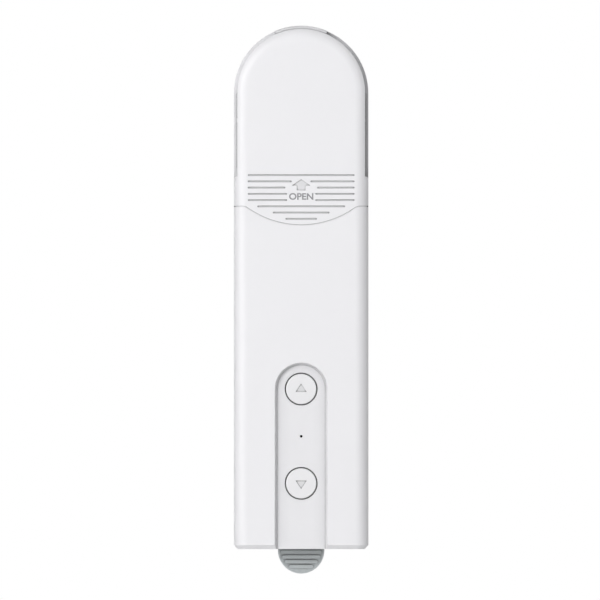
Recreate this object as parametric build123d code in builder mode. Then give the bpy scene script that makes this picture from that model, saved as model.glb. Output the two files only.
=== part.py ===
from build123d import *
import os
from math import acos, atan2, cos, pi, radians, sin, sqrt, tan

# Bead-chain roller shade motor on its wall bracket, in millimetres.
# The wall is the plane Y = 0, the room is towards -Y and Z is up. The origin lies on the wall
# at mid height of the body. A height is measured up from the body's bottom face, and a depth
# is measured out from the wall.

# Body
body_width = 45.5
body_height = 177.0
overall_depth = 55.0
front_depth = 13.0
wall = 1.8
back_wall = 2.0
front_round = 4.4
back_round = 3.0
bottom_bevel = 1.3

# Clearances
seam_gap = 0.3
shell_gap = 0.15
lip_height = 1.2
lip_thickness = 0.9
running_gap = 0.25
face_gap = 0.3
slip = 0.02
overlap = 0.45
shaft_clearance = 0.05
overshoot = 10.0

# Wall bracket
bracket_thickness = 2.5
bracket_gap = 1.5
bracket_width = 34.0
bracket_low = 8.0
bracket_high = 168.0
bracket_corner = 6.0
wall_screw_spacing = 96.0
wall_screw_hole_radius = 1.9
wall_screw_head_radius = 3.6
wall_screw_head_angle = 90.0
hook_x = 11.0
hook_heights = (39.5, 138.5)
hook_width = 4.0
hook_stem = 3.0
hook_lift = 3.2
hook_lip = 1.8
pad_length = 10.0

# Release latch
latch_half_width = 7.9
latch_thickness = 3.0
latch_gap = 1.9
tab_centre_height = -1.1
latch_pin_height = 14.0
latch_pin_radius = 0.8
latch_barrel_radius = 1.8
ear_thickness = 2.2
ear_radius = 1.9
rib_count = 4
rib_pitch = 1.65
rib_height = 1.15
rib_rise = 0.55
rib_margin = 0.9
tooth_height = 4.0
tooth_width = 10.0
tooth_size = 2.4
tooth_rise = 1.6
latch_edge_round = 0.5
pocket_clearance = 0.8
pocket_half_width = 12.4
pocket_height = 20.0
latch_spring_radius = 1.4
latch_spring_wire = 0.3
latch_spring_turns = 4
latch_spring_height = 10.3
spring_seat_depth = 1.2

# Chain cover
cover_drop = 38.25
tongue_radius = 31.3
tongue_dip = 6.3
tongue_blend = 3.0
cover_foot_height = 10.0
cover_step = 2.8
foot_corner = 1.0
cover_inset = 1.15
skirt_inset = 0.98
skirt_thickness = 1.4
skirt_notch_height = 1.55
skirt_notch_below_arch = 9.3
cover_edge_thickness = 2.6
bridge_angle = 23.0
rail_depth = 0.8
rail_width = 1.6
rail_length = 19.0
rail_gap = 0.2
line_width = 0.55
line_depth = 0.35
line_pitch = 2.11
first_line_rise = 0.4
line_half_length = 18.0
short_line_halves = (14.8, 9.55, 5.3)
arrow_gaps = (0.0, 3.2, 5.4, 4.8, 4.8)
arrow_half_width = 3.1
arrow_stem_half_width = 1.45
arrow_head_height = 2.1
arrow_height = 3.7
arrow_drop = 1.4

# Button recess and buttons
recess_depth = 2.0
recess_half_width = 8.9
recess_floor_half_width = 8.15
recess_floor_thickness = 1.6
recess_wall_thickness = 1.2
up_button_height = 54.1
down_button_height = 22.2
cap_radius = 5.15
cap_gap = 0.4
cap_rise = 0.4
cap_edge_round = 0.4
cap_flange_overlap = 0.75
cap_flange_thickness = 1.0
cap_play = 0.1
button_travel = 0.5
triangle_width = 3.7
triangle_height = 2.75
triangle_depth = 0.35
lamp_height = 38.1
lamp_radius = 0.38
lamp_recess = 0.3
lamp_stem_radius = 1.2

# Circuit board
board_setback = 11.2
board_thickness = 1.6
board_half_width = 17.4
board_low = 2.4
board_high = 100.0
board_screw_x = 14.0
board_screw_heights = (31.0, 70.0)
switch_size = 6.0
switch_body_height = 3.5
plunger_radius = 1.75
plunger_rise = 1.1
plunger_sink = 0.4
stem_radius = 2.2
switch_corner = 0.45
lamp_size = 1.6
lamp_thickness = 1.1
usb_width = 8.94
usb_height = 3.26
usb_length = 7.35
usb_shell = 0.3
usb_hole_width = 9.6
usb_hole_height = 3.9
usb_mouth_height = 0.6
usb_tongue_width = 6.69
radio_width = 18.0
radio_length = 24.0
radio_thickness = 0.8
radio_margin = 1.0
radio_can_length = 16.0
radio_can_height = 2.2
chip_drop = 6.4
main_chip_size = 7.0
main_chip_x = -5.0
driver_chip_size = 6.0
driver_chip_x = 7.0
chip_thickness = 1.0
small_parts = 3
resistor_x = 9.0
resistor_width = 1.6
resistor_length = 3.2
capacitor_x = -9.0
capacitor_size = 4.0
capacitor_thickness = 2.0
small_parts_low = 28.0
small_parts_pitch = 9.5
lead_socket_width = 12.0
lead_socket_length = 3.0
lead_socket_thickness = 2.5

# Batteries
cell_radius = 9.2
cell_length = 65.0
cell_spacing = 19.2
cell_depth = 24.5
cell_low = 10.6
holder_ribs = 4
holder_rib_thickness = 2.4
strip_thickness = 0.3
cell_edge_round = 0.6
first_rib = 0.35
battery_lead_rise = 1.6

# Screws
case_screw_x = 16.8
case_screw_low = 6.0
case_screw_above_cells = 7.9
case_screw_radius = 1.25
case_screw_head_radius = 2.2
case_screw_head_height = 2.4
case_screw_length = 12.0
case_post_radius = 3.5
front_post_radius = 2.6
small_screw_radius = 1.0
small_screw_head_radius = 1.75
small_screw_head_height = 1.3
small_screw_length = 6.0
hole_gap = 0.1

# Drive frame and gear plate
frame_thickness = 2.0
frame_setback = 0.5
gear_plate_thickness = 2.0
post_radius = 1.8
frame_post_radius = 2.1
frame_post_inset = 1.85
frame_post_angle = 24.0
gearbox_post_angle = 45.0
gearbox_post_rise = 3.8
gearbox_post_drop = 5.6
guide_setback = 4.45
guide_wall = 1.4
guide_front_gap = 0.3
cheek_top_below_arch = 2.2
cheek_bottom_below_arch = 36.2

# Bead wheel, for a chain of 4.5 mm beads at 6 mm pitch
bead_pockets = 16
bead_pitch = 6.0
bead_radius = 2.25
bead_gap = 0.25
cord_radius = 1.1
wheel_rim_setback = 6.35
wheel_width = 8.8
wheel_hub_radius = 5.6
wheel_dish = 2.0
wheel_rim_thickness = 5.0
wheel_edge_bevel = 0.4
wheel_hole_radius = 2.5
wheel_holes = 6
wheel_screw_radius = 1.5
wheel_screw_head_radius = 2.9
wheel_screw_head_height = 1.6

# Gear train
output_module, output_teeth = 0.8, 40
middle_module, middle_teeth = 0.6, 45
input_module, input_teeth = 0.5, 56
pinion_teeth = 12
pressure_angle = 20.0
addendum = 0.8
dedendum = 1.1
tooth_backlash = 0.08
centre_clearance = 0.1
second_gear_x = 5.0
first_gear_x = -5.5
axle_radius = 1.5
shaft_radius = 3.0
shaft_flat = 0.5
bush_radius = 4.6
bush_flange_radius = 5.6
bush_flange_thickness = 0.8
bush_play = 0.2
gear_hub_radius = 2.4
input_gear_width = 3.0
middle_gear_width = 4.0
output_gear_width = 5.0
layer_gap = 0.6

# Motor
motor_radius = 12.2
motor_back_depth = 6.3
motor_wall = 1.0
motor_face_gap = 2.0
end_cap_thickness = 3.0
motor_shaft_radius = 1.0
armature_radius = 7.6
armature_slots = 5
armature_slot_radius = 1.8
magnet_thickness = 2.6
magnet_angle = 130.0
motor_plate_thickness = 1.2
motor_plate_height = 12.0
motor_post_x = 16.5
motor_post_radius = 2.4
motor_screw_circle = 8.0
motor_screw_angle = 15.0
motor_cup_length = 6.0
motor_cup_wall = 1.6
lead_radius = 0.5
lead_x = 4.0
lead_bend_radius = 3.0

# Places worked out from the sizes above
half_width = body_width / 2
arch_height = body_height - half_width
housing_back = bracket_thickness + bracket_gap
inner_back = housing_back + back_wall
inner_half = half_width - wall
guide_radius = half_width - guide_setback
wheel_rim_radius = half_width - wheel_rim_setback
cover_inner_depth = overall_depth - wall
shell_seam_depth = overall_depth - front_depth
frame_front = shell_seam_depth - frame_setback
frame_back = frame_front - frame_thickness
seam_height = arch_height - cover_drop
cover_step_height = seam_height + cover_foot_height
skirt_low = cover_step_height + cover_step
board_depth = overall_depth - board_setback
board_front = board_depth + board_thickness
recess_floor_depth = overall_depth - recess_depth
recess_inner_depth = recess_floor_depth - recess_floor_thickness
case_screw_high = cell_low + cell_length + case_screw_above_cells
case_screw_places = [
    (side * case_screw_x, height)
    for height in (case_screw_low, case_screw_high)
    for side in (-1, 1)
]
board_screw_places = [
    (side * board_screw_x, height) for height in board_screw_heights for side in (-1, 1)
]


def up(height):
    """Z of a height above the body's bottom face."""
    return height - body_height / 2


def at_depth(depth):
    """Plane parallel to the wall at a depth, facing the room, with X and Z as its own axes."""
    return Plane.XZ.offset(depth)


def slab(width, low, high, back, front, x=0.0, mode=Mode.ADD):
    """Square block between two heights and two depths."""
    with Locations((x, -(back + front) / 2, up((low + high) / 2))):
        Box(width, front - back, high - low, mode=mode)


def rods(places, radius, back, front, mode=Mode.ADD):
    """Round bars or holes between two depths, at (x, height) places."""
    with BuildSketch(at_depth(back)) as discs:
        with Locations(*[(x, up(height)) for x, height in places]):
            Circle(radius)
    extrude(discs.sketch, amount=front - back, mode=mode)


def arch_outline(outline_half_width, low):
    """Outline with a flat bottom and a half-round top, drawn round the arch's centre."""
    with Locations((0, up((low + arch_height) / 2))):
        Rectangle(2 * outline_half_width, arch_height - low)
    with Locations((0, up(arch_height))):
        Circle(outline_half_width)


def arch_block(inset, low, back, front):
    """Plate or block with the body's arched outline, drawn in by an inset."""
    with BuildSketch(at_depth(back)) as outline:
        arch_outline(half_width - inset, low)
    extrude(outline.sketch, amount=front - back)


def body_block(inset, back, front, front_edge, back_edge, bevel):
    """The body's rounded outside, or the hollow that its walls leave inside."""
    with BuildPart() as block:
        arch_block(inset, inset, back, front)
        front_face = block.faces().sort_by(Axis.Y)[0]
        fillet(front_face.edges().sort_by(Axis.Z)[1:], radius=front_edge)
        back_face = block.faces().sort_by(Axis.Y)[-1]
        fillet(back_face.edges().sort_by(Axis.Z)[1:], radius=back_edge)
        if bevel:
            chamfer(block.faces().sort_by(Axis.Z)[0].edges(), length=bevel)
    return block.part


def above_cover_edge(gap):
    """Everything above the cover's lower edge, which dips in a round tongue at the middle."""
    edge = up(seam_height - gap)
    with BuildSketch() as area:
        with Locations((0, edge + body_height)):
            Rectangle(2 * body_width, 2 * body_height)
        with Locations((0, up(seam_height - tongue_dip + tongue_radius))):
            Circle(tongue_radius + gap)
        corners = [v for v in area.vertices() if abs(v.Y - edge) < slip and abs(v.X) < half_width]
        fillet(corners, radius=tongue_blend - gap)
    return area.sketch


def add_screw(x, height, seat, length, radius, head_radius, head_height, towards_room):
    """Pan-head screw whose head sits on a seat depth and whose shank runs on past it."""
    way = 1 if towards_room else -1
    head_end = seat - way * head_height
    shank_end = seat + way * length
    rods([(x, height)], head_radius, min(seat, head_end), max(seat, head_end))
    rods([(x, height)], radius, min(seat, shank_end), max(seat, shank_end))
    drive_back = min(head_end, head_end + way * head_height / 2)
    rods([(x, height)], radius, drive_back, drive_back + head_height / 2, mode=Mode.SUBTRACT)


def save(piece, name):
    """Label a finished piece and write its STEP file."""
    piece.part.label = name
    export_step(piece.part, f"parts/{name}.step")


os.makedirs("parts", exist_ok=True)

outer_body = body_block(0, housing_back, overall_depth, front_round, back_round, bottom_bevel)
cavity = body_block(
    wall, inner_back, cover_inner_depth, front_round - wall, back_round - back_wall, 0
)

# Gear train layout, from the bead wheel's axis down to the motor


def below(place, new_x, distance):
    """Place at a new x, lower than another place by what keeps their distance."""
    x, height = place
    return new_x, height - sqrt(distance**2 - (new_x - x) ** 2)


def gear_distance(module, teeth):
    """Centre distance of a wheel and its pinion."""
    return module * (teeth + pinion_teeth) / 2 + centre_clearance


wheel_place = (0.0, arch_height)
second_place = below(wheel_place, second_gear_x, gear_distance(output_module, output_teeth))
first_place = below(second_place, first_gear_x, gear_distance(middle_module, middle_teeth))
motor_place = below(first_place, 0.0, gear_distance(input_module, input_teeth))
motor_height = motor_place[1]

# The first wheel runs just behind the frame, and each later pair one layer further back
input_front = frame_back - face_gap
input_back = input_front - input_gear_width
middle_front = input_back - layer_gap
middle_back = middle_front - middle_gear_width
output_front = middle_back - layer_gap
output_back = output_front - output_gear_width
gear_plate_front = output_back - bush_flange_thickness - bush_play
gear_plate_depth = gear_plate_front - gear_plate_thickness
motor_front = frame_back - input_gear_width - motor_face_gap - face_gap

# Posts that stand on the rear shell's back and carry the drive frame
frame_post_reach = inner_half - frame_post_inset
frame_post_low = motor_height - motor_radius
frame_post_places = [
    (
        side * frame_post_reach * sin(radians(frame_post_angle)),
        arch_height + frame_post_reach * cos(radians(frame_post_angle)),
    )
    for side in (-1, 1)
] + [(side * frame_post_reach, frame_post_low) for side in (-1, 1)]

# Posts on the drive frame that carry the gear plate
gearbox_post_reach = inner_half - 2 * running_gap - post_radius
gearbox_post_places = [
    (
        side * gearbox_post_reach * sin(radians(gearbox_post_angle)),
        arch_height + gearbox_post_reach * cos(radians(gearbox_post_angle)),
    )
    for side in (-1, 1)
] + [
    (-gearbox_post_reach + running_gap, second_place[1] + gearbox_post_rise),
    (gearbox_post_reach - running_gap, first_place[1] - gearbox_post_drop),
]

# Wall bracket: flat plate with two countersunk screw holes, four hooks and the latch's ears
latch_back = bracket_thickness + latch_gap
latch_front = latch_back + latch_thickness
latch_pin_depth = (latch_back + latch_front) / 2
barrel_half_length = latch_half_width + running_gap
ear_x = barrel_half_length + running_gap + ear_thickness / 2
hook_head_back = inner_back + face_gap
hook_head_front = hook_head_back + hook_lip

with BuildPart() as wall_bracket:
    with BuildSketch(at_depth(0)):
        with Locations((0, up((bracket_low + bracket_high) / 2))):
            RectangleRounded(bracket_width, bracket_high - bracket_low, bracket_corner)
    extrude(amount=bracket_thickness)
    screw_planes = [
        Plane(origin=(0, -bracket_thickness, side * wall_screw_spacing / 2), z_dir=(0, -1, 0))
        for side in (-1, 1)
    ]
    with Locations(*screw_planes):
        CounterSinkHole(
            wall_screw_hole_radius, wall_screw_head_radius, 2 * bracket_thickness,
            wall_screw_head_angle,
        )
    for hook_height in hook_heights:
        for side in (-1, 1):
            hook_top = hook_height + hook_stem
            slab(hook_width, hook_height, hook_top, bracket_thickness, hook_head_front, side * hook_x)
            slab(
                hook_width, hook_height, hook_top + hook_lift,
                hook_head_back, hook_head_front, side * hook_x,
            )
    for pad_height in (bracket_low + 2 * pad_length, bracket_high - 2 * pad_length):
        for side in (-1, 1):
            slab(
                bracket_corner, pad_height, pad_height + pad_length, bracket_thickness,
                housing_back - slip, side * (bracket_width / 2 - bracket_corner),
            )
    for side in (-1, 1):
        slab(
            ear_thickness, latch_pin_height - ear_radius, latch_pin_height + ear_radius,
            bracket_thickness, latch_pin_depth, side * ear_x,
        )
        with Locations(Location((side * ear_x, -latch_pin_depth, up(latch_pin_height)), (0, 90, 0))):
            Cylinder(ear_radius, ear_thickness)
            Cylinder(latch_pin_radius + slip, ear_thickness, mode=Mode.SUBTRACT)
save(wall_bracket, "wall_bracket")

with BuildPart() as latch_pin:
    with Locations(Location((0, -latch_pin_depth, up(latch_pin_height)), (0, 90, 0))):
        Cylinder(latch_pin_radius, 2 * (ear_x + ear_thickness / 2))
save(latch_pin, "latch_pin")

# Release latch: flat lever with a ribbed half-round tab, a pivot barrel and a locking tooth
with BuildPart() as release_latch:
    with BuildSketch(at_depth(latch_back)):
        with Locations((0, up(tab_centre_height))):
            Circle(latch_half_width)
        with Locations((0, up((tab_centre_height + latch_pin_height) / 2))):
            Rectangle(2 * latch_half_width, latch_pin_height - tab_centre_height)
    extrude(amount=latch_thickness)
    fillet(
        release_latch.edges().filter_by(GeomType.CIRCLE).group_by(Axis.Y)[0], radius=latch_edge_round
    )
    with Locations(Location((0, -latch_pin_depth, up(latch_pin_height)), (0, 90, 0))):
        Cylinder(latch_barrel_radius, 2 * barrel_half_length)
        Cylinder(latch_pin_radius + shaft_clearance, 2 * barrel_half_length, mode=Mode.SUBTRACT)
    for rib in range(rib_count):
        rib_middle = -rib_pitch * (rib + 1) - slip
        lowest = tab_centre_height - (rib_middle - rib_height / 2)
        rib_half = sqrt(latch_half_width**2 - lowest**2) - rib_margin
        with BuildSketch(at_depth(latch_front)):
            with Locations((0, up(rib_middle))):
                SlotOverall(2 * rib_half, rib_height)
        extrude(amount=rib_rise)
    slab(
        tooth_width, tooth_height - tooth_size / 2, tooth_height + tooth_size / 2,
        latch_front, latch_front + tooth_rise,
    )
    rods(
        [(0, latch_spring_height)], latch_spring_radius + latch_spring_wire + running_gap,
        latch_back, latch_back + spring_seat_depth, mode=Mode.SUBTRACT,
    )
save(release_latch, "release_latch")

# Small coil spring that keeps the tab away from the wall
spring_length = latch_gap + spring_seat_depth - 2 * latch_spring_wire - 2 * slip
with BuildPart() as latch_spring:
    with BuildLine() as coil:
        Helix(
            spring_length / latch_spring_turns, spring_length, latch_spring_radius,
            center=(0, -bracket_thickness - latch_spring_wire - slip, up(latch_spring_height)),
            direction=(0, -1, 0),
        )
    with BuildSketch(Plane(coil.line @ 0, z_dir=coil.line % 0)):
        Circle(latch_spring_wire)
    sweep()
save(latch_spring, "latch_spring")

# Rear shell: back case half, with the bridge that carries the arch forward over the bead wheel
pocket_floor = latch_front + pocket_clearance
bridge_front = overall_depth - cover_edge_thickness - face_gap
lip_high = case_screw_high + case_post_radius - running_gap
with BuildPart() as rear_zone:
    slab(2 * body_width, -overshoot, body_height + overshoot, 0, shell_seam_depth)
    bridge_run = body_width * tan(radians(bridge_angle))
    with BuildSketch(at_depth(shell_seam_depth - wall)):
        with Locations((0, up(arch_height))):
            Polygon((0, 0), (bridge_run, body_width), (-bridge_run, body_width))
    extrude(amount=bridge_front - shell_seam_depth + wall)

with BuildPart() as lip_ring:
    with BuildSketch(at_depth(shell_seam_depth - wall)):
        with Locations((0, up((wall + lip_high) / 2))):
            Rectangle(2 * inner_half, lip_high - wall)
    extrude(amount=wall)
    with BuildSketch(at_depth(shell_seam_depth)):
        with Locations((0, up((wall + shell_gap + lip_high) / 2))):
            Rectangle(2 * (inner_half - shell_gap), lip_high - wall - shell_gap)
    extrude(amount=lip_height)
    slab(
        2 * (inner_half - shell_gap - lip_thickness), wall + shell_gap + lip_thickness,
        lip_high + overshoot,
        0, overall_depth, mode=Mode.SUBTRACT,
    )

with BuildPart() as rear_shell:
    add(outer_body)
    add(rear_zone.part, mode=Mode.INTERSECT)
    add(cavity, mode=Mode.SUBTRACT)
    add(lip_ring.part)
    rods(case_screw_places, case_post_radius, inner_back - slip, shell_seam_depth)
    rods(frame_post_places, frame_post_radius, inner_back - slip, frame_back)
    rods([(0, motor_height)], motor_radius + running_gap + motor_cup_wall,
         inner_back - slip, inner_back + motor_cup_length)
    rods([(0, motor_height)], motor_radius + running_gap,
         inner_back, inner_back + motor_cup_length, mode=Mode.SUBTRACT)
    slab(
        4 * lead_x, motor_height - motor_radius - 3 * motor_cup_wall, motor_height,
        inner_back, inner_back + motor_cup_length, mode=Mode.SUBTRACT,
    )
    pocket_outside = pocket_half_width + motor_cup_wall
    slab(2 * pocket_outside, wall / 2, pocket_height + wall, inner_back - slip, pocket_floor + wall)
    slab(
        2 * pocket_half_width, -overshoot, pocket_height, 0, pocket_floor, mode=Mode.SUBTRACT,
    )
    slab(
        tooth_width + 4 * running_gap, tooth_height - tooth_size / 2 - running_gap,
        tooth_height + tooth_size / 2 + running_gap, 0, pocket_floor + 2 * wall, mode=Mode.SUBTRACT,
    )
    rods(
        case_screw_places, case_screw_head_radius + running_gap,
        0, shell_seam_depth - 2 * back_wall, mode=Mode.SUBTRACT,
    )
    rods(case_screw_places, case_screw_radius + hole_gap, 0, shell_seam_depth, mode=Mode.SUBTRACT)
    rods(
        frame_post_places, small_screw_radius + slip,
        frame_back - small_screw_length - wall, frame_back, mode=Mode.SUBTRACT,
    )
    for hook_height in hook_heights:
        for side in (-1, 1):
            slab(
                hook_width + 4 * running_gap, hook_height - hook_lift - running_gap,
                hook_height + hook_stem + slip, 0, inner_back + back_wall,
                side * hook_x, mode=Mode.SUBTRACT,
            )
save(rear_shell, "rear_shell")

# Front shell: lower front case half with the button recess, the board's posts and the port
usb_depth = board_front + usb_height / 2 + slip
cap_hole_radius = cap_radius + cap_gap
button_places = [(0.0, up_button_height), (0.0, down_button_height)]


def recess_outline(outline_half_width, low):
    """Outline of the button recess, round at the top and open at the bottom."""
    with Locations((0, up((low + up_button_height) / 2))):
        Rectangle(2 * outline_half_width, up_button_height - low)
    with Locations((0, up(up_button_height))):
        Circle(outline_half_width)


recess_slope = (recess_half_width - recess_floor_half_width) / recess_depth
with BuildPart() as recess_cut:
    with BuildSketch(at_depth(recess_floor_depth)):
        recess_outline(recess_floor_half_width, -overshoot)
    with BuildSketch(at_depth(overall_depth + recess_depth)):
        recess_outline(recess_floor_half_width + 2 * recess_slope * recess_depth, -overshoot)
    loft()

with BuildPart() as front_zone:
    with BuildSketch(at_depth(shell_seam_depth + shell_gap)):
        with Locations((0, up(seam_height / 2 - overshoot / 2))):
            Rectangle(2 * body_width, seam_height + overshoot - 2 * seam_gap)
        add(above_cover_edge(seam_gap), mode=Mode.SUBTRACT)
    extrude(amount=overall_depth)

with BuildPart() as front_shell:
    add(outer_body)
    add(front_zone.part, mode=Mode.INTERSECT)
    add(cavity, mode=Mode.SUBTRACT)
    with BuildSketch(at_depth(recess_inner_depth)):
        recess_outline(recess_half_width + recess_wall_thickness, wall / 2)
    extrude(amount=cover_inner_depth + overlap - recess_inner_depth)
    rods(case_screw_places, front_post_radius, shell_seam_depth, cover_inner_depth + overlap)
    rods(board_screw_places, front_post_radius, board_front, cover_inner_depth + overlap)
    rods([(0, lamp_height)], 2 * lamp_stem_radius, board_front + 2 * wall, recess_inner_depth + slip)
    add(recess_cut.part, mode=Mode.SUBTRACT)
    rods(button_places, cap_hole_radius, board_front, overall_depth, mode=Mode.SUBTRACT)
    rods([(0, lamp_height)], lamp_radius + shaft_clearance, board_front, overall_depth, mode=Mode.SUBTRACT)
    rods(
        [(0, lamp_height)], lamp_stem_radius + shaft_clearance,
        board_front, recess_inner_depth, mode=Mode.SUBTRACT,
    )
    rods(
        case_screw_places, case_screw_radius + slip,
        0, shell_seam_depth + case_screw_length - wall, mode=Mode.SUBTRACT,
    )
    rods(
        board_screw_places, small_screw_radius + slip,
        0, board_front + small_screw_length - wall / 2, mode=Mode.SUBTRACT,
    )
    with BuildSketch(Plane.XY.offset(up(-overshoot))):
        with Locations((0, -usb_depth)):
            SlotOverall(usb_hole_width, usb_hole_height)
    extrude(amount=overshoot + 2 * wall, mode=Mode.SUBTRACT)
save(front_shell, "front_shell")

# Chain cover: front plate over the bead wheel, with side skirts that slide on the drive frame
cover_back = shell_seam_depth + running_gap
plate_back = bridge_front + face_gap
skirt_outer = half_width - skirt_inset
skirt_inner = skirt_outer - skirt_thickness
skirt_front = plate_back + overlap
with BuildPart() as cover_zone:
    with BuildSketch(at_depth(cover_back)) as cover_foot:
        add(above_cover_edge(0))
        with Locations((0, up(cover_step_height) - body_height / 2)):
            Rectangle(body_width, body_height, mode=Mode.INTERSECT)
        fillet(cover_foot.vertices().group_by(Axis.Y)[-1], radius=foot_corner)
    extrude(amount=overall_depth)
    with BuildSketch(at_depth(plate_back)):
        arch_outline(half_width - cover_inset, cover_step_height - foot_corner)
    extrude(amount=overall_depth)

rail_low = skirt_low + cover_step
rail_middle_depth = (cover_back + cover_inner_depth) / 2
with BuildPart() as chain_cover:
    add(outer_body)
    add(cover_zone.part, mode=Mode.INTERSECT)
    add(cavity, mode=Mode.SUBTRACT)
    notch_middle = arch_height - skirt_notch_below_arch
    for side in (-1, 1):
        slab(
            skirt_thickness, skirt_low, arch_height, cover_back, skirt_front,
            side * (skirt_outer - skirt_thickness / 2),
        )
        slab(
            rail_depth + slip, rail_low, rail_low + rail_length,
            rail_middle_depth - rail_width / 2, rail_middle_depth + rail_width / 2,
            side * (skirt_inner - rail_depth / 2 + slip / 2),
        )
        slab(
            2 * skirt_thickness, notch_middle - skirt_notch_height / 2,
            notch_middle + skirt_notch_height / 2, rail_middle_depth + rail_width, skirt_front,
            side * (skirt_inner + skirt_thickness), mode=Mode.SUBTRACT,
        )
    # Engraved lines, shorter towards the tongue and open at the middle round the arrow
    engraved_depth = overall_depth - line_depth
    first_line = cover_step_height + first_line_rise
    for line in range(len(arrow_gaps) + len(short_line_halves)):
        if line < len(arrow_gaps):
            outer_end, inner_end = line_half_length, arrow_gaps[line]
        else:
            outer_end, inner_end = short_line_halves[line - len(arrow_gaps)], 0.0
        with BuildSketch(at_depth(engraved_depth)):
            middle = (outer_end + inner_end) / 2
            places = [(side * middle, up(first_line - line * line_pitch)) for side in (-1, 1)]
            if inner_end == 0:
                places = [(0, up(first_line - line * line_pitch))]
            with Locations(*places):
                length = outer_end - inner_end if inner_end else 2 * outer_end
                SlotOverall(length, line_width)
        extrude(amount=overshoot, mode=Mode.SUBTRACT)
    with BuildSketch(at_depth(engraved_depth)):
        arrow_tip = up(first_line - arrow_drop)
        Polygon(
            (0, arrow_tip),
            (-arrow_half_width, arrow_tip - arrow_head_height),
            (-arrow_stem_half_width, arrow_tip - arrow_head_height),
            (-arrow_stem_half_width, arrow_tip - arrow_height),
            (arrow_stem_half_width, arrow_tip - arrow_height),
            (arrow_stem_half_width, arrow_tip - arrow_head_height),
            (arrow_half_width, arrow_tip - arrow_head_height),
        )
    extrude(amount=overshoot, mode=Mode.SUBTRACT)
save(chain_cover, "chain_cover")

# Buttons: each cap is pressed from the room and pushes its plunger into a switch on the board
switch_front = board_front + switch_body_height
plunger_tip = switch_front + plunger_rise
flange_front = recess_inner_depth - cap_play
flange_back = flange_front - cap_flange_thickness
cap_front = recess_floor_depth + cap_rise
for button_height, points_up, name in (
    (up_button_height, 1, "up_button"),
    (down_button_height, -1, "down_button"),
):
    with BuildPart() as button:
        rods([(0, button_height)], cap_radius, flange_back, cap_front)
        fillet(button.edges().group_by(Axis.Y)[0], radius=cap_edge_round)
        rods([(0, button_height)], cap_hole_radius + cap_flange_overlap, flange_back, flange_front)
        rods([(0, button_height)], stem_radius, plunger_tip, flange_back)
        with BuildSketch(at_depth(cap_front - triangle_depth)):
            tip = up(button_height) + points_up * triangle_height * 2 / 3
            foot = tip - points_up * triangle_height
            Polygon((0, tip), (-triangle_width / 2, foot), (triangle_width / 2, foot))
        extrude(amount=overshoot, mode=Mode.SUBTRACT)
    save(button, name)
    with BuildPart() as plunger:
        rods([(0, button_height)], plunger_radius, switch_front - plunger_sink, plunger_tip)
    save(plunger, name.replace("button", "plunger"))

with BuildPart() as button_switches:
    for place in button_places:
        slab(
            switch_size, place[1] - switch_size / 2, place[1] + switch_size / 2,
            board_front, switch_front,
        )
    fillet(button_switches.edges().filter_by(Axis.Y), radius=switch_corner)
    rods(
        button_places, plunger_radius + shaft_clearance,
        switch_front - plunger_sink - button_travel - running_gap, switch_front, mode=Mode.SUBTRACT,
    )
save(button_switches, "button_switches")

# Status lamp: a small lamp on the board and a smoked pipe that brings it to the recess floor
with BuildPart() as status_led:
    slab(
        lamp_size, lamp_height - lamp_size / 2, lamp_height + lamp_size / 2,
        board_front, board_front + lamp_thickness,
    )
    chamfer(status_led.faces().sort_by(Axis.Y)[0].edges(), length=lamp_size / 8)
save(status_led, "status_led")

with BuildPart() as light_pipe:
    rods([(0, lamp_height)], lamp_stem_radius, board_front + lamp_thickness + hole_gap,
         recess_inner_depth - hole_gap)
    rods([(0, lamp_height)], lamp_radius, recess_inner_depth - wall, recess_floor_depth - lamp_recess)
save(light_pipe, "light_pipe")

# Circuit board with its radio, chips, sockets and charging port
with BuildPart() as circuit_board:
    with BuildSketch(at_depth(board_depth)):
        with Locations((0, up((board_low + board_high) / 2))):
            RectangleRounded(2 * board_half_width, board_high - board_low, wall)
        with Locations(*[(x, up(height)) for x, height in case_screw_places]):
            Circle(front_post_radius + face_gap, mode=Mode.SUBTRACT)
        with Locations(*[(x, up(height)) for x, height in board_screw_places]):
            Circle(small_screw_radius + hole_gap, mode=Mode.SUBTRACT)
    extrude(amount=board_thickness)
save(circuit_board, "circuit_board")

radio_low = up_button_height + 2 * recess_half_width
radio_front = board_front + radio_thickness
chip_height = radio_low - chip_drop
with BuildPart() as radio_module:
    slab(radio_width, radio_low, radio_low + radio_length, board_front, radio_front)
    slab(
        radio_width - 3 * radio_margin, radio_low + radio_margin,
        radio_low + radio_margin + radio_can_length, radio_front, radio_front + radio_can_height,
    )
    fillet(radio_module.edges().filter_by(Axis.Y).group_by(Axis.Y)[0], radius=radio_thickness)
save(radio_module, "radio_module")

lead_socket_depth = board_depth - lead_socket_thickness
motor_lead_height = case_screw_high
cell_top = cell_low + cell_length
battery_lead_height = cell_top + battery_lead_rise
with BuildPart() as board_components:
    # Main chip and motor driver on the front, below the radio
    for size, x in ((main_chip_size, main_chip_x), (driver_chip_size, driver_chip_x)):
        slab(
            size, chip_height - size / 2, chip_height + size / 2,
            board_front, board_front + chip_thickness, x,
        )
    # Resistors and capacitors in a row on each side of the buttons
    for row in range(small_parts):
        low = small_parts_low + row * small_parts_pitch
        slab(
            resistor_width, low, low + resistor_length,
            board_front, board_front + chip_thickness, resistor_x,
        )
        slab(
            capacitor_size, low, low + capacitor_size,
            board_front, board_front + capacitor_thickness, capacitor_x,
        )
    # Lead sockets on the back
    for height in (motor_lead_height, battery_lead_height):
        slab(
            lead_socket_width, height - lead_socket_length / 2, height + lead_socket_length / 2,
            lead_socket_depth, board_depth,
        )
save(board_components, "board_components")

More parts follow.
